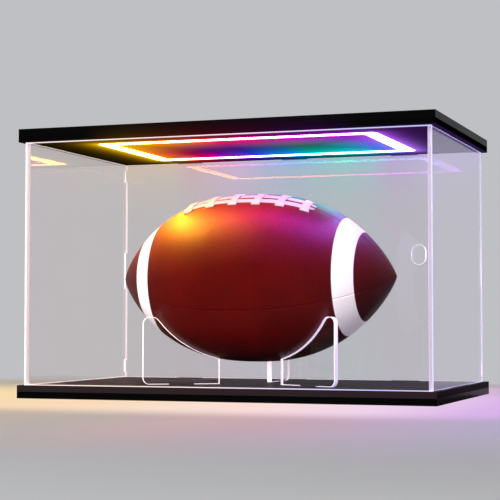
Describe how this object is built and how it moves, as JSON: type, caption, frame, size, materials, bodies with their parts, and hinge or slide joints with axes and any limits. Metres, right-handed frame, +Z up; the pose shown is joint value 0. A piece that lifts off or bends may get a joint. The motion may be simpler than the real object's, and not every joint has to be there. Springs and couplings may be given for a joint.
{
  "type": "football display case",
  "caption": "Clear display case with black base and lit black top, sliding front door and a radial-plate stand that holds an upright-laced leather football.",
  "frame": {"origin": "centre of the bottom of the feet, under the middle of the case", "axes": "+X to the right along the length, +Y to the back, +Z up; the sliding door is on the -Y side"},
  "size_m": [0.41, 0.242, 0.26],
  "materials": {
    "black_acrylic": "gloss",
    "foot_rubber": "matte",
    "clear_acrylic": "gloss, clear",
    "opal_acrylic": "satin, glowing when lit",
    "tape_polyimide": "satin",
    "lamp_resin": "gloss",
    "lead_insulation": "satin",
    "circuit_board": "gloss",
    "component_epoxy": "matte",
    "socket_steel": "satin",
    "button_plastic": "satin",
    "ball_leather": "pebbled, satin",
    "bladder_rubber": "matte",
    "lace_vinyl": "satin"
  },
  "bodies": {
    "case": {"base_board": "black_acrylic", "base_plate": "black_acrylic", "feet": "foot_rubber", "left_panel": "clear_acrylic", "right_panel": "clear_acrylic", "back_panel": "clear_acrylic", "ceiling_board": "black_acrylic", "top_cover": "black_acrylic", "led_diffuser": "opal_acrylic", "led_tape": "tape_polyimide", "led_packages": "lamp_resin", "led_leads": "lead_insulation", "controller_board": "circuit_board", "controller_parts": "component_epoxy", "usb_socket": "socket_steel", "button_switch": "component_epoxy", "stand_plate_front_left": "clear_acrylic", "stand_plate_front_right": "clear_acrylic", "stand_plate_back": "clear_acrylic"},
    "door": {"front_door": "clear_acrylic"},
    "button": {"mode_button": "button_plastic"},
    "ball": {"ball_panel_lace_front": "ball_leather", "ball_panel_lace_back": "ball_leather", "ball_panel_under_front": "ball_leather", "ball_panel_under_back": "ball_leather", "ball_bladder": "bladder_rubber", "ball_lace_strips": "lace_vinyl", "ball_lace_straps": "lace_vinyl", "ball_valve": "bladder_rubber"}
  },
  "joints": [
    {"name": "door_slide", "type": "slide", "parent": "case", "child": "door", "axis": [1, 0, 0], "range_m": [0, 0.32]},
    {"name": "ball_lift", "type": "slide", "parent": "case", "child": "ball", "axis": [0, 0, 1], "range_m": [0, 0.035]},
    {"name": "button_press", "type": "slide", "parent": "case", "child": "button", "axis": [0, -1, 0], "range_m": [0, 0.0008], "stiffness_N_per_m": 800, "springref_m": -0.0005}
  ]
}
